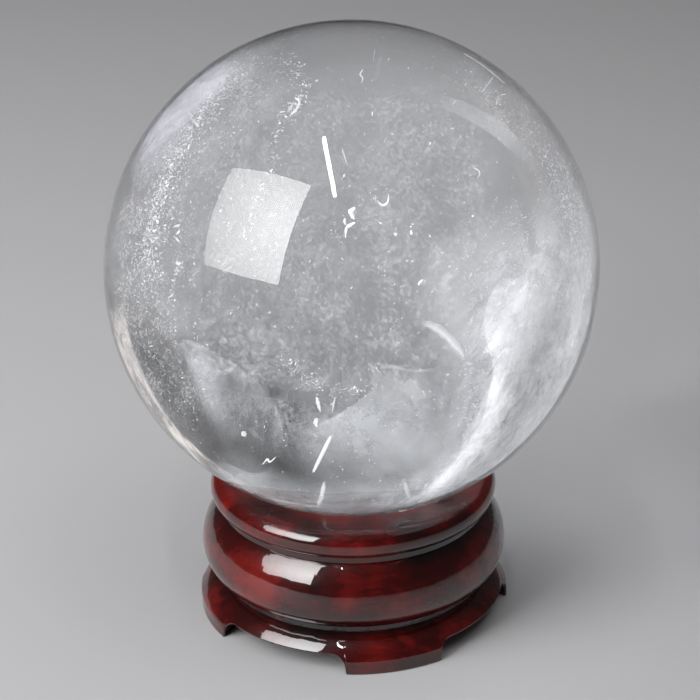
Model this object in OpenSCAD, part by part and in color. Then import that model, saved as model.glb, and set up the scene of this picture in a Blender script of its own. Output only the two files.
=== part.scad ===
// Crystal ball on its stand.
// A polished rock-crystal sphere rests by its own weight in the dished seat of a
// small turned and lacquered wooden stand. Nothing holds it: it lifts straight out.
// Millimetres, +Z up, -Y to the front. The origin is the centre of the stand's
// base, on the surface that it stands on.

/* [Ball] */
// Diameter of the crystal ball
ball_d = 60; // [50:1:80]
// Gap between the ball and the rim that it rests on
seat_gap = 0.05; // [0.02:0.01:0.1]

/* [Seat] */
// Radius of the well's rim, which carries the ball
seat_r = 11.5; // [10:0.5:13]
// Height of the well's rim above the table
seat_z = 17.7; // [17.2:0.1:18]
// Depth of the rounded well below its rim
well_depth = 8.7; // [7:0.1:10]

/* [Bead] */
// Outer radius of the rounded bead round the top of the stand
bead_r = 17.95; // [17.5:0.05:18.5]
// Radius of the bead's rounding
bead_round = 1.8; // [1.5:0.1:2.1]
// Height of the bead's widest line
bead_z = 16.5; // [16:0.1:16.8]

/* [Belly] */
// Outer radius of the belly
belly_r = 19.15; // [18.5:0.05:19.5]
// Radius of the belly's rounding above its widest line
belly_top_round = 6.5; // [5:0.1:6.8]
// Radius of the belly's rounding below its widest line
belly_low_round = 4.3; // [4:0.1:4.6]
// Height of the belly's widest line
belly_z = 9; // [8.8:0.1:9.2]
// Radius at the bottom of the two grooves, above and below the belly
neck_r = 16.7; // [16.2:0.1:17]

/* [Foot] */
// Outer radius of the foot ring
foot_r = 19.55; // [19.2:0.05:20]
// Height of the foot ring
foot_h = 4.45; // [4.2:0.05:4.6]
// Height of the upright edge under the foot ring's sloping top
foot_edge_h = 1.8; // [1:0.1:2]
// Radius of the slight crown on the sloping top
foot_crown = 6; // [5:0.5:10]
// Chamfer along the bottom edge
foot_chamfer = 0.3; // [0.1:0.1:0.5]
// Radius of the hollow turned into the underside
hollow_r = 14; // [12:0.5:15]
// Depth of the hollow turned into the underside
hollow_depth = 3.2; // [3.1:0.1:4]

/* [Arches] */
// Height of the arches cut between the feet
arch_h = 2.4; // [2:0.1:3]
// Width of each arch
arch_w = 17.6; // [14:0.2:19]
// Rounding of an arch's two upper corners
arch_round = 1.6; // [1:0.1:2]
// Turn of the feet about the stand's axis, from the front towards the right
foot_turn = 15; // [0:1:45]

/* [Hidden] */

$fn = 128;
foot_count = 4;
foot_pitch = 360 / foot_count;
cut_over = 1;

ball_r = ball_d / 2;
ball_z = seat_z + seat_gap + sqrt(ball_r * ball_r - seat_r * seat_r);

well_r = (seat_r * seat_r + well_depth * well_depth) / (2 * well_depth);
well_z = seat_z - well_depth + well_r;

bead_ring_r = bead_r - bead_round;
bead_top_z = bead_z + bead_round;

// The crown's circle goes through both ends of the foot ring's sloping top.
slope_run = foot_r - neck_r;
slope_rise = foot_h - foot_edge_h;
slope_length = sqrt(slope_run * slope_run + slope_rise * slope_rise);
crown_back = sqrt(foot_crown * foot_crown - slope_length * slope_length / 4);
crown_r = (foot_r + neck_r) / 2 - crown_back * slope_rise / slope_length;
crown_z = (foot_h + foot_edge_h) / 2 - crown_back * slope_run / slope_length;

// Core of the stand, from the foot ring's top to the sloping land round the well.
module core_outline() {
    polygon([
        [0, foot_h - cut_over],
        [neck_r, foot_h - cut_over],
        [neck_r, bead_z],
        [bead_ring_r, bead_top_z],
        [seat_r, seat_z],
        [0, seat_z]
    ]);
}

// Foot ring with its crowned slope, upright edge and small bottom chamfer.
module foot_outline() {
    intersection() {
        polygon([
            [0, 0],
            [foot_r - foot_chamfer, 0],
            [foot_r, foot_chamfer],
            [foot_r, foot_h],
            [0, foot_h]
        ]);
        union() {
            square([crown_r, foot_h]);
            translate([crown_r, crown_z]) circle(r = foot_crown);
        }
    }
}

// Part of the belly between two heights, where it has one rounding.
module belly_outline(rounding, low_z, high_z) {
    intersection() {
        translate([belly_r - rounding, belly_z]) circle(r = rounding);
        translate([0, low_z]) square([belly_r, high_z - low_z]);
    }
}

// Half of the turned profile: bead over belly over foot ring.
module turned_outline() {
    core_outline();
    foot_outline();
    translate([bead_ring_r, bead_z]) circle(r = bead_round);
    belly_outline(belly_top_round, belly_z, bead_z);
    belly_outline(belly_low_round, foot_edge_h, belly_z);
}

// One low arch with rounded upper corners, as seen from outside the foot ring.
module arch_outline() {
    corner_x = arch_w / 2 - arch_round;
    corner_z = arch_h - arch_round;
    translate([-arch_w / 2, -cut_over]) square([arch_w, corner_z + cut_over]);
    translate([-corner_x, -cut_over]) square([2 * corner_x, arch_h + cut_over]);
    for (side = [-1, 1]) {
        translate([side * corner_x, corner_z]) circle(r = arch_round);
    }
}

// Cutter for one arch, from inside the hollow out through the foot ring.
module arch_cutter() {
    start_r = hollow_r / 2;
    reach = foot_r + cut_over - start_r;
    translate([0, -start_r, 0]) rotate([90, 0, 0]) linear_extrude(height = reach) arch_outline();
}

// The stand: one turned piece of wood with a rounded well, a hollow underside
// and arches that leave four feet.
module stand() {
    color([0.26, 0.03, 0.02]) difference() {
        rotate_extrude() turned_outline();
        translate([0, 0, well_z]) sphere(r = well_r);
        translate([0, 0, -cut_over]) cylinder(r = hollow_r, h = hollow_depth + cut_over);
        for (i = [0 : foot_count - 1]) {
            rotate([0, 0, foot_turn + (i + 0.5) * foot_pitch]) arch_cutter();
        }
    }
}

// The ball: one solid polished stone.
module crystal_ball() {
    color([0.85, 0.88, 0.9, 0.5]) translate([0, 0, ball_z]) sphere(r = ball_r);
}

stand();
crystal_ball();
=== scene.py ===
"""Looks of the crystal ball and its lacquered wooden stand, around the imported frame."""
import math

import bmesh
import bpy
import numpy as np
from mathutils import Matrix, Vector, noise


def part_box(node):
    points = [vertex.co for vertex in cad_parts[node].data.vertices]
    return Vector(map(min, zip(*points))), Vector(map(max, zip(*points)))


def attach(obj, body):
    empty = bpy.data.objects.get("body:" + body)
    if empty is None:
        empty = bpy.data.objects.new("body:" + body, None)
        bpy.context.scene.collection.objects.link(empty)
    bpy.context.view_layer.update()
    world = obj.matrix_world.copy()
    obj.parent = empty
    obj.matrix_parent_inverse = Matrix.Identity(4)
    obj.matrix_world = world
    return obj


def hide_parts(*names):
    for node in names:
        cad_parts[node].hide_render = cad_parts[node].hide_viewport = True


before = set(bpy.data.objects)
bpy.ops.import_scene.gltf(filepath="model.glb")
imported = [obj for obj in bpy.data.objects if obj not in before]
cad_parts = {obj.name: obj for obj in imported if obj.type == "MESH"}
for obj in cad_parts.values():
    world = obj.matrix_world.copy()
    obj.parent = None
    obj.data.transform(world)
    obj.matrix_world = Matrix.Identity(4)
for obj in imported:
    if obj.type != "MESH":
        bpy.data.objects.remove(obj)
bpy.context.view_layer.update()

MM = 0.001
SEED = 11

# Ball and stand, as the frame gives them.
BALL_LOW, BALL_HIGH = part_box("crystal_ball")
BALL_R = (BALL_HIGH.z - BALL_LOW.z) / 2
BALL_AT = Vector((0, 0, (BALL_HIGH.z + BALL_LOW.z) / 2))
STAND_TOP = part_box("stand")[1].z

# Turned profile of the stand, in millimetres, the same as the CAD's.
SEAT_R, SEAT_Z, WELL_DEPTH = 11.5, 17.7, 8.7
BEAD_R, BEAD_ROUND, BEAD_Z = 17.95, 1.8, 16.5
BELLY_R, BELLY_Z, BELLY_TOP_ROUND, BELLY_LOW_ROUND = 19.15, 9.0, 6.5, 4.3
NECK_R = 16.7
FOOT_R, FOOT_H, FOOT_EDGE_H, FOOT_CROWN = 19.55, 4.45, 1.8, 6.0
HOLLOW_R, HOLLOW_DEPTH = 14.0, 3.2
ARCH_H, ARCH_W, ARCH_ROUND = 2.4, 17.6, 1.6
FOOT_TURN, FOOT_COUNT = 15.0, 4
EDGE_SOFT = 0.25          # rounding that sanding and lacquer leave on every edge
EDGE_STEPS = ((0.4, 0.1), (0.1, 0.4), (0.0, 1.0))     # that rounding, as shares of it up and in
SEAT_RIM = ((SEAT_R + 0.05, SEAT_Z - 0.02), (SEAT_R + 0.25, SEAT_Z + 0.03))
UPPER_GROOVE = ((NECK_R + 0.05, 14.7), (NECK_R + 0.04, 14.25))
LOWER_GROOVE = ((NECK_R + 0.02, 4.95), (NECK_R, 4.75))
UNEVEN = 0.05             # how far hand turning leaves it from round at most, in millimetres

# Camera: where the photographer stood. Metres and degrees, and millimetres of lens.
CAM_DISTANCE = 0.307
CAM_ELEVATION = 23.3
CAM_LENS = 130.2
CAM_ROLL = -0.44
CAM_AIM_X, CAM_AIM_Z = -0.00027, 0.0346

QUARTZ_IOR = 1.55
POLISH_WAVE = 0.002       # how far hand polishing leaves the ball from round at most, in millimetres
SKIN = 0.12               # least depth of an inclusion under the ball's surface, in millimetres
WISP_CURL = 0.3           # how much deeper a wisp's edges lie than its middle


# ---------------------------------------------------------------- mesh helpers

def make_object(name, verts, faces, smooth=True, sharp_angle=None):
    """A mesh object from points in metres and faces."""
    mesh = bpy.data.meshes.new(name)
    mesh.from_pydata([tuple(p) for p in verts], [], [tuple(f) for f in faces])
    mesh.update()
    if smooth:
        mesh.polygons.foreach_set("use_smooth", [True] * len(mesh.polygons))
    if sharp_angle is not None:
        mesh.set_sharp_from_angle(angle=math.radians(sharp_angle))
    obj = bpy.data.objects.new(name, mesh)
    bpy.context.scene.collection.objects.link(obj)
    return obj


def grid_faces(rows, cols):
    """Quads over a grid of points, row by row."""
    faces = []
    for i in range(rows - 1):
        for j in range(cols - 1):
            at = i * cols + j
            faces.append((at, at + 1, at + cols + 1, at + cols))
    return faces


# ---------------------------------------------------------------- node helpers

def new_material(name):
    """An empty node material, with its tree and its output node."""
    material = bpy.data.materials.new(name)
    material.use_nodes = True
    tree = material.node_tree
    tree.nodes.clear()
    return material, tree, tree.nodes.new("ShaderNodeOutputMaterial")


def add(tree, kind, settings=None, **inputs):
    """A node of that kind, with its settings and its input values."""
    made = tree.nodes.new("ShaderNode" + kind)
    for key, value in (settings or {}).items():
        setattr(made, key, value)
    for key, value in inputs.items():
        made.inputs[key.replace("_", " ")].default_value = value
    return made


def ramp(tree, source, stops):
    """A colour ramp fed by source; stops are (place, value or colour)."""
    made = tree.nodes.new("ShaderNodeValToRGB")
    tree.links.new(source, made.inputs[0])
    elements = made.color_ramp.elements
    while len(elements) < len(stops):
        elements.new(0.5)
    for element, (place, colour) in zip(elements, stops):
        element.position = place
        element.color = (*colour, 1) if isinstance(colour, tuple) else (colour, colour, colour, 1)
    return made


def math_node(tree, operation, first, second):
    """A Math node on two sockets or numbers."""
    made = tree.nodes.new("ShaderNodeMath")
    made.operation = operation
    for socket, value in zip(made.inputs, (first, second)):
        if isinstance(value, (int, float)):
            socket.default_value = value
        else:
            tree.links.new(value, socket)
    return made.outputs[0]


# ---------------------------------------------------------------- camera

def camera_place():
    """Where the camera is, by its distance and elevation from the ball's centre."""
    lift = math.radians(CAM_ELEVATION)
    return BALL_AT + CAM_DISTANCE * Vector((0, -math.cos(lift), math.sin(lift)))


def make_camera():
    """The camera at the photograph's viewing angle."""
    data = bpy.data.cameras.new("camera")
    data.lens = CAM_LENS
    data.sensor_width = 36
    data.clip_start = 0.01
    camera = bpy.data.objects.new("camera", data)
    camera.location = camera_place()
    look = Vector((CAM_AIM_X, 0, CAM_AIM_Z)) - camera.location
    turn = look.to_track_quat("-Z", "Y").to_matrix().to_4x4()
    roll = Matrix.Rotation(math.radians(CAM_ROLL), 4, "Z")
    camera.matrix_world = Matrix.Translation(camera.location) @ turn @ roll
    bpy.context.scene.collection.objects.link(camera)
    bpy.context.scene.camera = camera


# ---------------------------------------------------------------- stage and light

def floor_material():
    """Pale, plain and nearly matt."""
    material, tree, out = new_material("pale_floor")
    shader = add(tree, "BsdfPrincipled", Base_Color=(0.47, 0.47, 0.48, 1), Roughness=0.6)
    grain = add(tree, "TexNoise", Scale=900.0, Detail=3.0)
    coords = add(tree, "TexCoord")
    tree.links.new(coords.outputs["Object"], grain.inputs["Vector"])
    bump = add(tree, "Bump", Strength=0.02, Distance=0.0002)
    tree.links.new(grain.outputs["Fac"], bump.inputs["Height"])
    tree.links.new(bump.outputs["Normal"], shader.inputs["Normal"])
    tree.links.new(shader.outputs[0], out.inputs["Surface"])
    return material


def make_floor():
    """A large plain sheet under the stand."""
    half = 1.5
    corners = [(-half, -half, 0), (half, -half, 0), (half, half, 0), (-half, half, 0)]
    floor = make_object("floor", corners, [(0, 1, 2, 3)], smooth=False)
    floor.data.materials.append(floor_material())


def area_light(name, way, distance, size, power, up, spread=180, mirrored=True, swing=0):
    """A rectangular lamp that faces the ball from the direction way.

    mirrored says whether gloss and glass show it, and swing how far it is turned about its own
    upright line, in degrees, which brings one side nearer."""
    data = bpy.data.lights.new(name, "AREA")
    data.shape = "RECTANGLE"
    data.size, data.size_y = size
    data.energy = power
    data.spread = math.radians(spread)
    light = bpy.data.objects.new(name, data)
    back = Vector(way).normalized()
    across = Vector(up).cross(back).normalized()
    above = back.cross(across)
    turn = Matrix((across, above, back)).transposed().to_4x4()
    turn = turn @ Matrix.Rotation(math.radians(swing), 4, "Y")
    light.matrix_world = Matrix.Translation(BALL_AT + distance * back) @ turn
    light.visible_glossy = mirrored
    light.visible_transmission = mirrored
    bpy.context.scene.collection.objects.link(light)


def make_lights():
    """A large softbox on the left, a thin tube overhead, a fill, a low beam and dim surroundings.

    The softbox and the tube show in the stone's polish. The fill and the beam only light things up."""
    area_light("softbox", (-0.712, -0.443, 0.545), 0.5, (0.369, 0.384), 1.4, (0.331, 0.474, 0.816),
               spread=104, swing=17.3)
    area_light("tube", (-0.149, -0.345, 0.92), 0.6, (0.016, 0.31), 0.6, (-0.115, 0.94, 0.3))
    area_light("fill", (0.25, -0.25, 0.93), 0.6, (0.4, 0.4), 0.16, (0, 1, 0), spread=60, mirrored=False)
    area_light("beam", (-0.80, -0.58, 0.16), 0.5, (0.04, 0.04), 0.03, (0, 0, 1), spread=6, mirrored=False)
    world = bpy.data.worlds.new("studio")
    world.use_nodes = True
    background = world.node_tree.nodes["Background"]
    background.inputs["Color"].default_value = (0.045, 0.045, 0.047, 1)
    background.inputs["Strength"].default_value = 1.0
    bpy.context.scene.world = world
    bpy.context.scene.view_settings.view_transform = "Standard"


# ---------------------------------------------------------------- stand

def arc(centre_r, centre_z, radius, start, end, count):
    """Points of an arc in the (r, z) plane, angles in degrees from straight outwards."""
    angles = np.radians(np.linspace(start, end, count))
    return [(centre_r + radius * math.cos(a), centre_z + radius * math.sin(a)) for a in angles]


def line(start, end, count):
    """Points of a straight stretch, without its last one."""
    steps = np.linspace(0, 1, count, endpoint=False)
    return [(start[0] + (end[0] - start[0]) * s, start[1] + (end[1] - start[1]) * s) for s in steps]


def upper_profile():
    """The turned profile from the middle of the well out and down to the lower groove."""
    rim_gap = 1.5         # degrees short of the rim, where its rounding starts
    well_r = (SEAT_R ** 2 + WELL_DEPTH ** 2) / (2 * WELL_DEPTH)
    well_z = SEAT_Z - WELL_DEPTH + well_r
    rim_angle = math.degrees(math.atan2(SEAT_Z - well_z, SEAT_R))
    bead_ring = BEAD_R - BEAD_ROUND
    points = arc(0, well_z, well_r, -89.5, rim_angle - rim_gap, 30)
    points += SEAT_RIM
    points += line((SEAT_R + 0.5, SEAT_Z + 0.07), (bead_ring - 0.2, BEAD_Z + BEAD_ROUND - 0.03), 8)
    points += arc(bead_ring, BEAD_Z, BEAD_ROUND, 90, -66, 30)
    points += UPPER_GROOVE
    points += arc(BELLY_R - BELLY_TOP_ROUND, BELLY_Z, BELLY_TOP_ROUND, 51, 2, 26)
    points += arc(BELLY_R - BELLY_LOW_ROUND, BELLY_Z, BELLY_LOW_ROUND, 0, -64, 24)
    points += LOWER_GROOVE
    return points


def foot_outer_r(z):
    """Radius of the foot ring's outside at height z: a crowned slope over an upright edge."""
    if z <= FOOT_EDGE_H:
        return FOOT_R
    run, rise = FOOT_R - NECK_R, FOOT_H - FOOT_EDGE_H
    length = math.hypot(run, rise)
    back = math.sqrt(FOOT_CROWN ** 2 - length ** 2 / 4)
    centre_r = (FOOT_R + NECK_R) / 2 - back * rise / length
    centre_z = (FOOT_H + FOOT_EDGE_H) / 2 - back * run / length
    return centre_r + math.sqrt(FOOT_CROWN ** 2 - (z - centre_z) ** 2)


def arch_height(offset):
    """Height of the underside at this distance across from an arch's middle."""
    side = ARCH_W / 2
    corner = side - ARCH_ROUND
    across = abs(offset)
    if across <= corner:
        return ARCH_H
    if across <= side:
        return ARCH_H - ARCH_ROUND + math.sqrt(ARCH_ROUND ** 2 - (across - corner) ** 2)
    if across <= side + EDGE_SOFT:
        return EDGE_SOFT - math.sqrt(EDGE_SOFT ** 2 - (side + EDGE_SOFT - across) ** 2)
    return 0.0


def foot_profile(turn):
    """The foot ring's section at an azimuth, from its top edge to the middle of the underside.

    turn is the angle from the middle of the nearest arch, in degrees."""
    def under(r):
        return arch_height(r * math.sin(math.radians(turn)))

    bottom = under(FOOT_R)
    points = []
    for s in np.linspace(0, 1, 22):
        z = FOOT_H - (FOOT_H - bottom - EDGE_SOFT) * s
        points.append((foot_outer_r(z), z))
    edge_r = foot_outer_r(bottom + EDGE_SOFT)
    for z_share, r_share in EDGE_STEPS:
        points.append((edge_r - EDGE_SOFT * r_share, bottom + EDGE_SOFT * z_share))
    for r in np.linspace(edge_r - 2 * EDGE_SOFT, HOLLOW_R + EDGE_SOFT, 10):
        points.append((r, under(r)))
    inner = under(HOLLOW_R)
    soft = min(EDGE_SOFT, (HOLLOW_DEPTH - inner) / 2)
    points += [(HOLLOW_R, inner + soft), (HOLLOW_R, HOLLOW_DEPTH - soft / 2)]
    points += [(HOLLOW_R - soft, HOLLOW_DEPTH), (HOLLOW_R / 2, HOLLOW_DEPTH), (0.05, HOLLOW_DEPTH)]
    return points


def column_angles():
    """Azimuths of the stand's columns, as an arch's middle and the turn from it, in degrees.

    They are fine at the arches' sides and coarser between."""
    pitch = 360 / FOOT_COUNT
    fine_from, fine_to = 19.0, 41.5
    arch_step, side_step, foot_step = 1.5, 0.5, 1.2
    half = list(np.arange(0, fine_from, arch_step))
    half += list(np.arange(fine_from, fine_to, side_step))
    half += list(np.arange(fine_to, pitch / 2, foot_step))
    one = [-a for a in reversed(half[1:])] + half
    return [(k * pitch, a) for k in range(FOOT_COUNT) for a in one]


def stand_column(profile, azimuth):
    """The profile's points at an azimuth in degrees, in metres, very slightly uneven."""
    angle = math.radians(azimuth)
    heading = Vector((math.sin(angle), -math.cos(angle)))
    round_scale, height_scale, even_r = 0.16, 0.22, 12
    column = []
    for r, z in profile:
        place = Vector((heading.x * r * round_scale, heading.y * r * round_scale, z * height_scale))
        swell = UNEVEN * noise.noise(place) * min(1, r / even_r)
        column.append((heading.x * (r + swell) * MM, heading.y * (r + swell) * MM, z * MM))
    return column


def stand_faces(columns, per):
    """Quads between the columns all round, and the two small discs in the middle that close them."""
    faces = []
    for i in range(columns):
        a, b = i * per, ((i + 1) % columns) * per
        faces += [(a + j, a + j + 1, b + j + 1, b + j) for j in range(per - 1)]
    faces.append(tuple(i * per for i in range(columns)))
    faces.append(tuple(i * per + per - 1 for i in reversed(range(columns))))
    return faces


def make_stand():
    """The turned stand as one closed mesh."""
    upper = upper_profile()
    half_pitch = 180 / FOOT_COUNT
    rows = []
    for base, turn in column_angles():
        rows.append(stand_column(upper + foot_profile(turn), FOOT_TURN + half_pitch + base + turn))
    verts = [p for column in rows for p in column]
    stand = make_object("turned_stand", verts, stand_faces(len(rows), len(rows[0])), sharp_angle=38)
    stand.data.materials.append(lacquer_material())
    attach(stand, "stand")
    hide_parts("stand")


def height_shade(tree, height, stops):
    """A painted shade value that follows the height up the stand; stops are (millimetres, value)."""
    parts = add(tree, "SeparateXYZ")
    tree.links.new(height, parts.inputs[0])
    share = math_node(tree, "DIVIDE", parts.outputs["Z"], STAND_TOP)
    return ramp(tree, share, [(z * MM / STAND_TOP, value) for z, value in stops]).outputs["Color"]


def lacquer_red(tree, coords):
    """The red of the lacquer: turned grain and soft blotches."""
    links = tree.links
    stretch = add(tree, "Mapping", Scale=(260.0, 900.0, 900.0))
    links.new(coords, stretch.inputs["Vector"])
    grain = add(tree, "TexNoise", Scale=1.0, Detail=6.0, Roughness=0.62, Distortion=0.6)
    links.new(stretch.outputs["Vector"], grain.inputs["Vector"])
    blotch = add(tree, "TexNoise", Scale=110.0, Detail=3.0, Roughness=0.5)
    links.new(coords, blotch.inputs["Vector"])
    grain_share = 0.42
    mixed = math_node(tree, "MULTIPLY_ADD", grain.outputs["Fac"], grain_share)
    links.new(blotch.outputs["Fac"], mixed.node.inputs[2])
    return ramp(tree, mixed, [
        (0.54, (0.010, 0.0004, 0.0004)),
        (0.73, (0.052, 0.0010, 0.0008)),
        (0.92, (0.16, 0.006, 0.0035)),
    ]).outputs["Color"]


def lacquer_ripple(tree, coords):
    """The bump of brushed lacquer that has almost levelled out."""
    ripple = add(tree, "TexNoise", Scale=420.0, Detail=2.0, Roughness=0.45)
    tree.links.new(coords, ripple.inputs["Vector"])
    bump = add(tree, "Bump", Strength=0.5, Distance=0.00012)
    tree.links.new(ripple.outputs["Fac"], bump.inputs["Height"])
    return bump.outputs["Normal"]


def lacquer_material():
    """Dark red gloss lacquer over turned wood, with painted shade: darker in the grooves, lighter on the
    ridges.
    """
    material, tree, out = new_material("red_lacquer")
    links = tree.links
    coords = add(tree, "TexCoord").outputs["Object"]
    # painted shade by height: the red is darkened in the grooves, on the slopes into them and at the foot,
    # and left full on the ridges
    painted_groove_shade = height_shade(tree, coords, [
        (0, 0.7), (1.6, 1.0), (3.4, 0.8), (4.6, 0.25), (6.0, 0.7), (9.5, 1.0), (12.5, 0.75), (14.2, 0.25),
        (15.0, 0.5), (16.8, 1.0),
    ])
    shaded = add(tree, "VectorMath", {"operation": "MULTIPLY"})
    links.new(lacquer_red(tree, coords), shaded.inputs[0])
    links.new(painted_groove_shade, shaded.inputs[1])
    shader = add(tree, "BsdfPrincipled", Roughness=0.32, Specular_IOR_Level=0.1,
                 Coat_Weight=1.0, Coat_Roughness=0.03, Coat_IOR=1.7)
    links.new(shaded.outputs["Vector"], shader.inputs["Base Color"])
    ripple = lacquer_ripple(tree, coords)
    links.new(ripple, shader.inputs["Coat Normal"])
    links.new(ripple, shader.inputs["Normal"])
    links.new(shader.outputs[0], out.inputs["Surface"])
    return material


# ---------------------------------------------------------------- ball

def crystal_material():
    """Polished rock crystal, which throws a soft shadow. Lamps still light what lies inside it:
    a shadow ray that leaves the stone from inside meets its back faces only, and those let it by."""
    material, tree, out = new_material("rock_crystal")
    glass = add(tree, "BsdfPrincipled", Base_Color=(0.82, 0.825, 0.84, 1), Roughness=0.0,
                IOR=QUARTZ_IOR, Transmission_Weight=1.0)
    facing = add(tree, "NewGeometry")
    front_pass, back_pass = 0.25, 0.95
    shade = ramp(tree, facing.outputs["Backfacing"], [(0.0, front_pass), (1.0, back_pass)])
    clear = add(tree, "BsdfTransparent")
    tree.links.new(shade.outputs["Color"], clear.inputs["Color"])
    path = add(tree, "LightPath")
    mix = add(tree, "MixShader")
    tree.links.new(path.outputs["Is Shadow Ray"], mix.inputs[0])
    tree.links.new(glass.outputs[0], mix.inputs[1])
    tree.links.new(clear.outputs[0], mix.inputs[2])
    tree.links.new(mix.outputs[0], out.inputs["Surface"])
    return material


def make_ball():
    """The polished sphere, with the faint unevenness of hand polishing."""
    mesh = bpy.data.meshes.new("crystal_sphere")
    shape = bmesh.new()
    bmesh.ops.create_icosphere(shape, subdivisions=6, radius=1.0)
    wave_scale = 3.5
    for vert in shape.verts:
        wave = noise.noise(vert.co * wave_scale)
        vert.co = BALL_AT + vert.co.normalized() * (BALL_R + POLISH_WAVE * MM * wave)
    for face in shape.faces:
        face.smooth = True
    shape.to_mesh(mesh)
    shape.free()
    ball = bpy.data.objects.new("crystal_sphere", mesh)
    bpy.context.scene.collection.objects.link(ball)
    mesh.materials.append(crystal_material())
    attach(ball, "ball")
    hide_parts("crystal_ball")


def seen_at(u, v, depth):
    """Points in the ball that the camera sees at (u, v), in ball radii right and up of its middle.

    The camera's ray is bent as it enters, and depth is the share of its way through the stone."""
    u, v, depth = (np.atleast_1d(np.asarray(x, float)) for x in (u, v, depth))
    middle = np.array(BALL_AT)
    eye = np.array(camera_place())
    back = (eye - middle) / np.linalg.norm(eye - middle)
    right = np.cross([0, 0, 1.0], back)
    right /= np.linalg.norm(right)
    above = np.cross(back, right)
    spread = BALL_R / math.sqrt(1 - (BALL_R / CAM_DISTANCE) ** 2)
    target = middle + spread * (u[:, None] * right + v[:, None] * above)
    ray = target - eye
    ray /= np.linalg.norm(ray, axis=1)[:, None]
    offset = eye - middle
    along = ray @ offset
    reach = -along - np.sqrt(np.maximum(along ** 2 - offset @ offset + BALL_R ** 2, 1e-12))
    entry = eye + reach[:, None] * ray
    normal = (entry - middle) / BALL_R
    cosine = -(ray * normal).sum(1)
    ratio = 1 / QUARTZ_IOR
    inner = np.sqrt(1 - ratio ** 2 * (1 - cosine ** 2))
    bent = ratio * ray + (ratio * cosine - inner)[:, None] * normal
    chord = 2 * BALL_R * inner
    return entry + (depth * chord)[:, None] * bent


# ---------------------------------------------------------------- inclusion materials

def flake_material(name, colour, shade, metallic, rough):
    """Flat fluid-filled flakes: bright where they face the light and dull where they don't."""
    material, tree, out = new_material(name)
    links = tree.links
    coords = add(tree, "TexCoord")
    patch = add(tree, "TexNoise", Scale=700.0, Detail=2.0, Roughness=0.6)
    links.new(coords.outputs["Object"], patch.inputs["Vector"])
    tone = ramp(tree, patch.outputs["Fac"], [(0.35, shade), (0.62, colour)])
    shader = add(tree, "BsdfPrincipled", Roughness=rough, Metallic=metallic)
    links.new(tone.outputs["Color"], shader.inputs["Base Color"])
    thin = add(tree, "BsdfTranslucent", Color=(*colour, 1))
    mix = add(tree, "MixShader", Fac=0.35)
    links.new(shader.outputs[0], mix.inputs[1])
    links.new(thin.outputs[0], mix.inputs[2])
    links.new(mix.outputs[0], out.inputs["Surface"])
    return material


def veil_cover(tree, lean, scales, limits, clouds):
    """How much a veil covers: fibres plus softer clouds, times how thick it is there.

    scales are the fibres' along and across them; limits are the sums where the cover starts and is
    full, and the full cover; clouds are the clouds' scale and their weight beside the fibres'."""
    links = tree.links
    coords = add(tree, "TexCoord").outputs["Object"]
    turned = add(tree, "Mapping", Rotation=(0, math.radians(lean), 0))
    links.new(coords, turned.inputs["Vector"])
    drawn = add(tree, "Mapping", Scale=(scales[1], scales[1], scales[0]))
    links.new(turned.outputs["Vector"], drawn.inputs["Vector"])
    fibre = add(tree, "TexNoise", Scale=1.0, Detail=7.0, Roughness=0.68, Distortion=0.7)
    links.new(drawn.outputs["Vector"], fibre.inputs["Vector"])
    cloud = add(tree, "TexNoise", Scale=clouds[0], Detail=5.0, Roughness=0.6)
    links.new(coords, cloud.inputs["Vector"])
    both = math_node(tree, "MULTIPLY_ADD", cloud.outputs["Fac"], clouds[1])
    links.new(fibre.outputs["Fac"], both.node.inputs[2])
    cover = add(tree, "MapRange", {"interpolation_type": "SMOOTHSTEP"},
                From_Min=limits[0], From_Max=limits[1], To_Min=0.0, To_Max=limits[2])
    links.new(both, cover.inputs["Value"])
    thick = add(tree, "Attribute", {"attribute_name": "thick"})
    return math_node(tree, "MULTIPLY", cover.outputs["Result"], thick.outputs["Fac"])


def veil_material(name, colour, lean, scales, limits, clouds=(170.0, 1.0)):
    """A milky veil: fibres that lean by an angle, broken up by softer clouds, and thin at its edges."""
    material, tree, out = new_material(name)
    links = tree.links
    alpha = veil_cover(tree, lean, scales, limits, clouds)
    white = add(tree, "BsdfDiffuse", Color=(*colour, 1))
    thin = add(tree, "BsdfTranslucent", Color=(*colour, 1))
    solid = add(tree, "MixShader", Fac=0.45)
    links.new(white.outputs[0], solid.inputs[1])
    links.new(thin.outputs[0], solid.inputs[2])
    clear = add(tree, "BsdfTransparent")
    mix = add(tree, "MixShader")
    links.new(alpha, mix.inputs[0])
    links.new(clear.outputs[0], mix.inputs[1])
    links.new(solid.outputs[0], mix.inputs[2])
    links.new(mix.outputs[0], out.inputs["Surface"])
    return material


# ---------------------------------------------------------------- inclusion shapes

def put_inside(obj, material):
    """Gives a piece inside the stone its material and body."""
    obj.data.materials.append(material)
    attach(obj, "ball")


def set_thickness(obj, values):
    """How thick a veil is at each of its points, from 0 to 1, for its material."""
    thick = obj.data.attributes.new("thick", "FLOAT", "POINT")
    thick.data.foreach_set("value", np.asarray(values, np.float32))


def inside(points):
    """Points kept at least a hair under the ball's surface."""
    offset = points - np.array(BALL_AT)
    reach = np.linalg.norm(offset, axis=1)
    shrink = np.minimum(1, (BALL_R - SKIN * MM) / np.maximum(reach, 1e-9))
    return np.array(BALL_AT) + offset * shrink[:, None]


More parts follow.
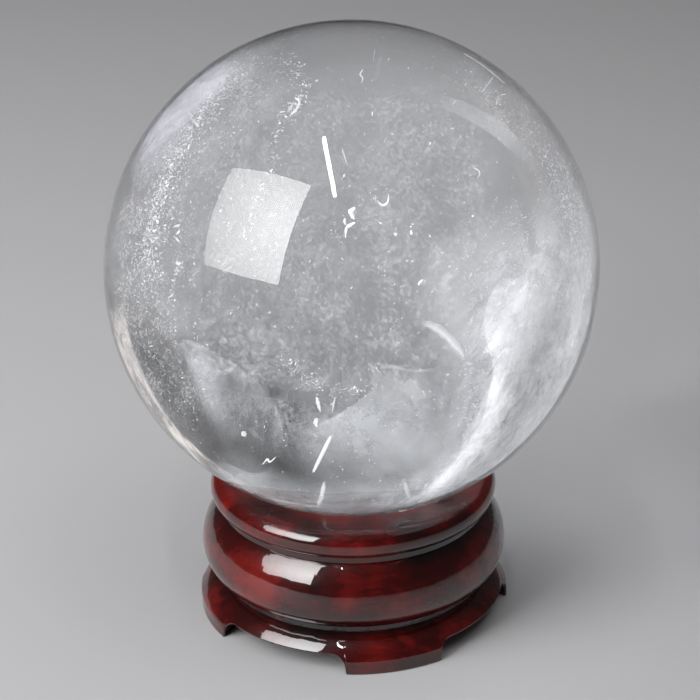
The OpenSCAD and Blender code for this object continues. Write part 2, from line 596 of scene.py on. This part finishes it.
def flakes(name, centres, sizes, stretch, material, random):
    """Many small flat four-cornered flakes, each turned at random."""
    count = len(centres)
    turn_scatter = 0.3
    normal = random.normal(size=(count, 3))
    normal /= np.linalg.norm(normal, axis=1)[:, None]
    side = np.cross(normal, random.normal(size=(count, 3)))
    side /= np.linalg.norm(side, axis=1)[:, None]
    other = np.cross(normal, side)
    long = sizes * (1 + stretch * random.random(count))
    wide = sizes * (0.45 + 0.5 * random.random(count))
    corners = []
    for turn in (0, 0.5, 1, 1.5):
        angle = math.pi * turn + random.normal(scale=turn_scatter, size=count)
        reach = 0.7 + 0.6 * random.random(count)
        corner = (np.cos(angle) * reach * long)[:, None] * side
        corner += (np.sin(angle) * reach * wide)[:, None] * other
        corners.append(centres + corner)
    verts = inside(np.stack(corners, 1).reshape(-1, 3))
    faces = np.arange(4 * count).reshape(-1, 4)
    put_inside(make_object(name, verts, faces, smooth=False), material)


def along(path, count, spread, random):
    """Points scattered about a path of (u, v) points, with each one's share of the way along."""
    path = np.array(path, float)
    steps = np.linalg.norm(np.diff(path, axis=0), axis=1)
    marks = np.concatenate([[0], np.cumsum(steps)]) / steps.sum()
    share = random.random(count)
    u = np.interp(share, marks, path[:, 0])
    v = np.interp(share, marks, path[:, 1])
    lumps_per_path, lump_row, lumpiness = 14, spread * 99, 0.8
    lumps = np.array([noise.noise(Vector((t * lumps_per_path, lump_row, 0))) for t in share])
    off = random.normal(size=(count, 2)) * (spread * (1 + lumpiness * lumps))[:, None]
    return u + off[:, 0], v + off[:, 1], share


def seen_only(u, v, limit=0.985):
    """Pulls points in from beyond the ball's outline."""
    reach = np.hypot(u, v)
    shrink = np.minimum(1, limit / np.maximum(reach, 1e-9))
    return u * shrink, v * shrink


def streak(name, path, count, spread, sizes, depth, material, random, stretch=1.0):
    """A streak of flakes along a path, from one depth at its start to another at its end."""
    depth_scatter = 0.012
    u, v, share = along(path, count, spread, random)
    u, v = seen_only(u, v)
    way = depth[0] + (depth[1] - depth[0]) * share + random.normal(scale=depth_scatter, size=count)
    size = (sizes[0] + (sizes[1] - sizes[0]) * random.random(count) ** 3) * MM
    centres = seen_at(u, v, np.clip(way, 0.01, 0.99))
    flakes(name, centres, size, stretch, material, random)


def strokes(name, starts, lean, length, per, depth, sizes, material, random):
    """Short lines of fine flakes. Each starts at a (u, v) point and runs off at about the angle lean."""
    count = len(starts)
    turn_scatter, step_scatter, side_scatter = 0.16, 0.04, 0.006
    angle = math.radians(lean) + random.normal(scale=turn_scatter, size=count)
    heading = np.stack([np.cos(angle), np.sin(angle)], 1)
    reach = length[0] + (length[1] - length[0]) * random.random(count)
    step = np.linspace(0, 1, per)[None] + random.normal(scale=step_scatter, size=(count, per))
    spots = starts[:, None] + heading[:, None] * (reach[:, None] * step)[..., None]
    spots = (spots + random.normal(scale=side_scatter, size=spots.shape)).reshape(-1, 2)
    u, v = seen_only(spots[:, 0], spots[:, 1], 0.975)
    way = np.repeat(depth[0] + (depth[1] - depth[0]) * random.random(count), per)
    size = (sizes[0] + (sizes[1] - sizes[0]) * random.random(len(u)) ** 3) * MM
    flakes(name, seen_at(u, v, way), size, 1.2, material, random)


def smooth_path(path, count):
    """Points along a soft curve through the given ones."""
    path = np.array(path, float)
    ends = np.vstack([2 * path[0] - path[1], path, 2 * path[-1] - path[-2]])
    out = []
    for t in np.linspace(0, len(path) - 1 - 1e-9, count):
        i = int(t)
        f = t - i
        a, b, c, d = ends[i:i + 4]
        out.append(0.5 * (2 * b + (c - a) * f + (2 * a - 5 * b + 4 * c - d) * f * f
                          + (3 * b - a - 3 * c + d) * f ** 3))
    return np.array(out)


def wisp(name, path, width, depth, material, count=24, ragged=0.35, taper=0.7, strength=1.0):
    """A thin curved ribbon that tapers to both ends, abruptly so with a small taper.

    ragged is how much its width wavers, and strength how thick it is at most, from 0 to 1."""
    route = smooth_path(path, count)
    heading = np.gradient(route, axis=0)
    across = np.stack([-heading[:, 1], heading[:, 0]], 1)
    across /= np.linalg.norm(across, axis=1)[:, None]
    share = np.linspace(0, 1, count)
    widest, least, fast, slow, shift = 0.8, 0.0006, 37, 17, width * 900
    half = 0.5 * width * np.sin(math.pi * share ** widest) ** taper + least
    half *= 1 + ragged * np.sin(share * fast + shift) * np.sin(share * slow)
    rows = []
    for place in (-1, -0.3, 0.4, 1):
        edge = route + across * (place * half)[:, None]
        rows.append(seen_at(edge[:, 0], edge[:, 1], depth + WISP_CURL * half * abs(place)))
    verts = np.stack(rows, 1).reshape(-1, 3)
    obj = make_object(name, inside(verts), grid_faces(count, 4))
    ends = strength * np.minimum(1, 4 * np.minimum(share, 1 - share))
    set_thickness(obj, np.outer(ends, (0.0, 1.0, 1.0, 0.0)).ravel())
    put_inside(obj, material)


def veil(name, left, right, depth, material, ripple=0.03, rows=60, cols=36, fade=(0.25, 0.25, 0.25, 0.001)):
    """A sheet between two paths, with ripples that run up to ripple in depth.

    fade is how far in from its top, bottom, left and right edge it thins out, as a share of the sheet."""
    left, right = smooth_path(left, rows), smooth_path(right, rows)
    share = np.linspace(0, 1, cols)[None, :, None]
    grid = left[:, None] * (1 - share) + right[:, None] * share
    u, v = grid[..., 0].ravel(), grid[..., 1].ravel()
    u, v = seen_only(u, v, 0.992)
    down = np.repeat(np.linspace(0, 1, rows), cols)
    across = np.tile(np.linspace(0, 1, cols), rows)
    wave_scale, wave_row = 3.1, depth[0] * 9
    wave = [noise.noise(Vector((a * wave_scale, b * wave_scale, wave_row))) for a, b in zip(u, v)]
    way = depth[0] + (depth[1] - depth[0]) * across + ripple * np.array(wave)
    verts = inside(seen_at(u, v, np.clip(way, 0.01, 0.99)))
    obj = make_object(name, verts, grid_faces(rows, cols))
    thick = np.ones(len(down))
    for way_in, reach in zip((down, 1 - down, across, 1 - across), fade):
        step = np.clip(way_in / reach, 0, 1)
        thick *= step * step * (3 - 2 * step)
    set_thickness(obj, thick)
    put_inside(obj, material)


def limb(start, end, reach=0.985, end_reach=None, count=8):
    """A path round the ball's outline between two angles, anticlockwise from the right.

    reach and end_reach are how far out it starts and ends, in ball radii."""
    angles = np.radians(np.linspace(start, end, count))
    reaches = np.linspace(reach, reach if end_reach is None else end_reach, count)
    return [(r * math.cos(a), r * math.sin(a)) for r, a in zip(reaches, angles)]


# ---------------------------------------------------------------- inclusions, feature by feature

def make_flake_bands(silver, warm):
    """The sparkling bands inside the left and right of the stone."""
    random = np.random.default_rng(SEED)
    left = [(-0.30, 0.85), (-0.47, 0.77), (-0.60, 0.62), (-0.70, 0.47), (-0.78, 0.28), (-0.83, 0.05),
            (-0.84, -0.12)]
    streak("left_flake_band", left, 4600, 0.048, (0.03, 0.13), (0.10, 0.24), silver, random)
    streak("left_flake_core", left[1:6], 1500, 0.020, (0.04, 0.19), (0.12, 0.20), silver, random)
    streak("left_flake_fringe", left[2:], 2200, 0.10, (0.02, 0.07), (0.14, 0.40), silver, random)
    streak("left_warm_flecks", left[1:6], 260, 0.03, (0.03, 0.12), (0.12, 0.20), warm, random)
    starts = np.stack([-0.90 + 0.28 * random.random(230), -0.62 + 0.85 * random.random(230)], 1)
    strokes("left_fine_streaks", starts, 94, (0.03, 0.13), 9, (0.12, 0.34), (0.025, 0.10), silver, random)
    right = [(0.44, 0.80), (0.57, 0.69), (0.70, 0.57), (0.79, 0.46), (0.86, 0.33), (0.90, 0.18),
             (0.92, 0.0), (0.91, -0.2)]
    streak("right_flake_band", right, 3400, 0.034, (0.025, 0.10), (0.10, 0.30), silver, random)
    streak("right_warm_flecks", right[1:4], 420, 0.03, (0.03, 0.12), (0.12, 0.2), warm, random)
    streak("right_flake_core", right[3:7], 1500, 0.022, (0.03, 0.14), (0.16, 0.28), silver, random)


def make_crackle(silver):
    """The crackled streaks: the bright one at the upper left and the small ones lower down."""
    random = np.random.default_rng(SEED + 1)
    head = [(-0.25, 0.83), (-0.20, 0.76), (-0.20, 0.68), (-0.26, 0.61)]
    streak("crackle_head", head, 300, 0.022, (0.04, 0.22), (0.16, 0.2), silver, random, 1.6)
    tail = [(-0.26, 0.61), (-0.31, 0.52), (-0.31, 0.42), (-0.37, 0.28), (-0.44, 0.13)]
    streak("crackle_tail", tail, 300, 0.016, (0.03, 0.15), (0.2, 0.3), silver, random, 1.6)
    dashes = [(-0.70, 0.20), (-0.69, 0.10), (-0.70, 0.0), (-0.74, -0.12)]
    streak("left_dashes", dashes, 60, 0.006, (0.08, 0.22), (0.2, 0.3), silver, random, 2.5)
    drift = [(-0.28, -0.36), (-0.20, -0.44), (-0.10, -0.48), (0.0, -0.50), (0.08, -0.47)]
    streak("low_drift", drift, 520, 0.020, (0.02, 0.09), (0.45, 0.55), silver, random, 1.5)
    knot = [(0.010, 0.245), (0.008, 0.205), (0.018, 0.180), (-0.012, 0.165), (-0.020, 0.128)]
    streak("middle_knot_specks", knot, 90, 0.010, (0.02, 0.09), (0.28, 0.3), silver, random, 1.5)
    side_path = [(-0.060, 0.165), (-0.075, 0.150), (-0.045, 0.118), (-0.030, 0.135)]
    streak("side_knot_specks", side_path, 60, 0.009, (0.02, 0.07), (0.28, 0.3), silver, random, 1.5)
    tuft = [(0.085, 0.292), (0.10, 0.28), (0.112, 0.272)]
    streak("crescent_tuft", tuft, 40, 0.006, (0.02, 0.08), (0.25, 0.26), silver, random, 1.5)
    border = [(0.49, -0.40), (0.50, -0.50), (0.49, -0.60), (0.47, -0.74), (0.38, -0.84), (0.26, -0.93)]
    streak("cloud_border", border, 760, 0.026, (0.02, 0.12), (0.3, 0.5), silver, random, 1.6)


def make_glints(bright):
    """Single bright marks: a crescent, a squiggle, dashes and small arcs."""
    wisp("crescent", [(0.106, 0.275), (0.118, 0.259), (0.136, 0.257), (0.149, 0.272), (0.150, 0.300)],
         0.009, 0.25, bright)
    wisp("knot_head", [(0.016, 0.246), (0.000, 0.232), (0.006, 0.212), (0.012, 0.198)], 0.020, 0.27, bright)
    wisp("knot_bend", [(0.016, 0.186), (0.002, 0.180), (-0.016, 0.168), (-0.022, 0.150), (-0.024, 0.124)],
         0.012, 0.28, bright)
    wisp("knot_arm", [(-0.024, 0.204), (-0.026, 0.190), (-0.022, 0.176)], 0.010, 0.28, bright)
    wisp("limb_line", [(0.455, 0.862), (0.54, 0.806), (0.622, 0.737)], 0.006, 0.12, bright, ragged=0)
    wisp("middle_dot", [(0.171, 0.133), (0.177, 0.137), (0.183, 0.140)], 0.013, 0.3, bright, ragged=0)
    wisp("top_thread", [(0.052, 0.80), (0.040, 0.78), (0.050, 0.765), (0.046, 0.745)], 0.005, 0.2, bright)
    wisp("right_loop", [(0.495, 0.40), (0.513, 0.392), (0.517, 0.375), (0.505, 0.36)], 0.004, 0.3, bright)
    wisp("middle_dash", [(0.268, -0.068), (0.276, -0.056), (0.288, -0.044)], 0.011, 0.35, bright)
    wisp("right_dash", [(0.632, -0.196), (0.66, -0.19), (0.69, -0.18)], 0.010, 0.25, bright)
    wisp("low_dash_1", [(-0.146, -0.515), (-0.138, -0.545), (-0.130, -0.575)], 0.013, 0.5, bright)
    wisp("low_dash_2", [(-0.142, -0.600), (-0.150, -0.618), (-0.144, -0.636)], 0.016, 0.5, bright)
    wisp("low_dash_3", [(-0.070, -0.515), (-0.076, -0.545), (-0.082, -0.575)], 0.006, 0.52, bright)
    wisp("low_squiggle", [(-0.365, -0.785), (-0.345, -0.765), (-0.335, -0.775), (-0.31, -0.755)],
         0.007, 0.5, bright)
    wisp("left_glint", [(-0.446, -0.652), (-0.438, -0.662), (-0.432, -0.672)], 0.02, 0.6, bright)
    wisp("crackle_loop", [(-0.245, 0.615), (-0.215, 0.645), (-0.205, 0.675), (-0.225, 0.69)],
         0.010, 0.18, bright)


def make_cloud(milky, thin_milk):
    """The milky cloud at the lower right: three rippled sheets, densest low down by the outline."""
    outer = limb(22, -84, count=8)
    wide = [(0.44, 0.28), (0.28, 0.10), (0.22, -0.10), (0.28, -0.32), (0.32, -0.50), (0.26, -0.70),
            (0.14, -0.86), (0.0, -0.98)]
    veil("cloud_front", wide, outer, (0.28, 0.10), thin_milk, fade=(0.25, 0.1, 0.65, 0.001))
    veil("cloud_middle", wide, outer, (0.52, 0.45), thin_milk, ripple=0.06, fade=(0.3, 0.1, 0.5, 0.001))
    dense = [(0.66, 0.10), (0.56, -0.08), (0.51, -0.25), (0.48, -0.42), (0.46, -0.58), (0.40, -0.74),
             (0.31, -0.85), (0.20, -0.95)]
    veil("cloud_core", dense, limb(6, -78, count=8), (0.30, 0.22), milky, ripple=0.04,
         fade=(0.35, 0.1, 0.35, 0.001))


def make_planes(haze, faint):
    """The haze at the bottom and the two healed planes."""
    floor_left = [(-0.40, -0.38), (-0.37, -0.58), (-0.30, -0.80), (-0.18, -0.96)]
    floor_right = [(0.58, -0.34), (0.60, -0.56), (0.55, -0.76), (0.42, -0.89)]
    veil("bottom_haze", floor_left, floor_right, (0.42, 0.36), haze, ripple=0.0, rows=36,
         fade=(0.4, 0.05, 0.4, 0.3))
    facet_left = [(-0.69, -0.27), (-0.68, -0.38), (-0.63, -0.52), (-0.56, -0.70), (-0.45, -0.84)]
    facet_right = [(-0.66, -0.275), (-0.47, -0.38), (-0.32, -0.52), (-0.26, -0.68), (-0.22, -0.88)]
    veil("lower_left_plane", facet_right, facet_left, (0.55, 0.48), faint, rows=36, cols=24,
         fade=(0.02, 0.7, 0.02, 0.2))
    arc_low = [(0.30, 0.66), (0.45, 0.60), (0.58, 0.52), (0.70, 0.40)]
    arc_high = [(0.31, 0.72), (0.47, 0.665), (0.62, 0.575), (0.74, 0.43)]
    veil("upper_right_plane", arc_low, arc_high, (0.30, 0.32), faint, rows=30, cols=10,
         fade=(0.3, 0.35, 0.1, 0.1))


def make_edges(stained, glow, grainy, haze):
    """What lines the ball's outline: the stained edge, the glows and the grain."""
    veil("stained_edge", limb(186, 262, 0.92, 0.975), limb(186, 262, 0.992), (0.30, 0.22), stained,
         rows=70, cols=10, fade=(0.12, 0.15, 0.2, 0.1))
    veil("upper_left_glow", limb(112, 160, 0.84), limb(112, 160), (0.20, 0.12), glow, rows=50, cols=20,
         fade=(0.3, 0.4, 0.6, 0.05))
    veil("right_grain", limb(66, -4, 0.80), limb(66, -4), (0.20, 0.12), grainy, rows=60, cols=24,
         fade=(0.2, 0.3, 0.35, 0.2))
    veil("left_grain", limb(104, 238, 0.66), limb(104, 238), (0.24, 0.12), grainy, rows=100, cols=30,
         fade=(0.12, 0.2, 0.4, 0.1))
    veil("bottom_glow", limb(232, 304, 0.84), limb(232, 304, 0.992), (0.22, 0.12), haze, rows=50, cols=20,
         fade=(0.15, 0.1, 0.7, 0.001))


def make_dust(dusty):
    """The drifts of dust that hang in the middle, on three sheets."""
    top = [(-0.86, 0.42), (-0.3, 0.82), (0.2, 0.86), (0.66, 0.62)]
    low = [(-0.80, -0.45), (-0.3, -0.82), (0.15, -0.86), (0.6, -0.6)]
    for i, (way, lean) in enumerate(((0.36, 0.12), (0.58, -0.15), (0.74, 0.1))):
        veil(f"dust_plane_{i + 1}", top, low, (way, way + lean), dusty, ripple=0.1, rows=40, cols=40,
             fade=(0.15, 0.15, 0.15, 0.15))


def make_wisps(bright):
    """Milky threads: the curved one beside the cloud, a sagging one, a streak and three needles."""
    ribbon = veil_material("milky_wisp", (0.95, 0.95, 0.98), 40, (900.0, 2200.0), (0.55, 0.95, 0.95))
    wisp("curved_wisp", [(0.27, -0.222), (0.33, -0.232), (0.39, -0.275), (0.44, -0.335), (0.475, -0.40)],
         0.055, 0.33, ribbon, count=40, ragged=0.2, strength=0.38)
    wisp("sagging_thread", [(0.10, -0.375), (0.18, -0.40), (0.27, -0.412), (0.38, -0.395)],
         0.014, 0.4, ribbon, count=30, strength=0.14)
    wisp("streak_by_tube", [(-0.038, 0.492), (-0.026, 0.455), (-0.012, 0.408)], 0.008, 0.16, ribbon,
         ragged=0, strength=0.6)
    wisp("needle_1", [(-0.088, -0.672), (-0.125, -0.746), (-0.162, -0.82)], 0.015, 0.42, bright,
         ragged=0, taper=0.3)
    wisp("needle_2", [(-0.114, -0.85), (-0.126, -0.91), (-0.146, -0.97)], 0.022, 0.42, ribbon,
         ragged=0, taper=0.3, strength=0.9)
    wisp("needle_3", [(0.208, -0.85), (0.217, -0.90), (0.236, -0.95)], 0.022, 0.42, ribbon,
         ragged=0, taper=0.3, strength=0.9)


def make_speckle(silver):
    """Fine specks all through the stone, in loose drifts."""
    random = np.random.default_rng(SEED + 2)
    count, drift_scale, drift_from, drift_blur = 14000, 3.4, 0.02, 0.12
    way = random.normal(size=(count, 3))
    way /= np.linalg.norm(way, axis=1)[:, None]
    reach = random.random(count) ** (1 / 3) * 0.97
    spots = way * reach[:, None]
    drift = np.array([noise.noise(Vector(p) * drift_scale) for p in spots])
    keep = drift > drift_from + drift_blur * random.normal(size=count)
    centres = np.array(BALL_AT) + spots[keep] * BALL_R
    sizes = (0.022 + 0.08 * random.random(keep.sum()) ** 5) * MM
    flakes("fine_specks", centres, sizes, 0.8, silver, random)


def make_cloud_flakes(silver):
    """Flakes that give the milky cloud its sparkle and its fibrous streaks."""
    random = np.random.default_rng(SEED + 3)
    count = 300
    starts = np.stack([0.44 + 0.52 * random.random(count), -0.95 + 1.2 * random.random(count)], 1)
    strokes("cloud_flakes", starts, 58, (0.04, 0.17), 26, (0.10, 0.46), (0.018, 0.075), silver, random)


def make_inclusions():
    """Everything inside the stone."""
    silver = flake_material("silver_flakes", (0.93, 0.94, 0.96), (0.55, 0.56, 0.58), 0.35, 0.3)
    warm = flake_material("warm_flecks", (0.75, 0.60, 0.50), (0.35, 0.22, 0.15), 0.2, 0.4)
    bright = flake_material("bright_marks", (0.97, 0.97, 0.98), (0.8, 0.8, 0.82), 0.2, 0.35)
    milky = veil_material("milky_veil", (0.92, 0.93, 0.95), -32, (420.0, 1300.0), (0.58, 1.28, 0.92))
    thin_milk = veil_material("thin_milk", (0.90, 0.91, 0.94), -32, (360.0, 1000.0), (0.64, 1.42, 0.66))
    haze = veil_material("bottom_haze", (0.80, 0.82, 0.85), 0, (90.0, 110.0), (0.20, 1.80, 0.60))
    faint = veil_material("faint_plane", (0.84, 0.86, 0.90), 0, (220.0, 260.0), (0.20, 1.75, 0.50))
    stained = veil_material("stained_veil", (0.90, 0.83, 0.77), 35, (120.0, 900.0), (0.76, 1.22, 0.85))
    glow = veil_material("lilac_glow", (0.88, 0.88, 0.97), -40, (260.0, 700.0), (0.55, 1.25, 0.6))
    dusty = veil_material("dusty_veil", (0.90, 0.91, 0.94), 20, (2200.0, 3000.0), (0.64, 0.98, 0.22),
                          clouds=(500.0, 0.4))
    grainy = veil_material("grainy_veil", (0.90, 0.90, 0.92), 0, (2400.0, 3600.0), (0.60, 1.00, 0.42),
                           clouds=(400.0, 0.5))
    make_flake_bands(silver, warm)
    make_crackle(silver)
    make_glints(bright)
    make_cloud(milky, thin_milk)
    make_planes(haze, faint)
    make_edges(stained, glow, grainy, haze)
    make_dust(dusty)
    make_wisps(bright)
    make_speckle(silver)
    make_cloud_flakes(silver)


# ---------------------------------------------------------------- build

def build():
    """Everything, camera first."""
    make_camera()
    make_floor()
    make_lights()
    make_stand()
    make_ball()
    make_inclusions()


build()
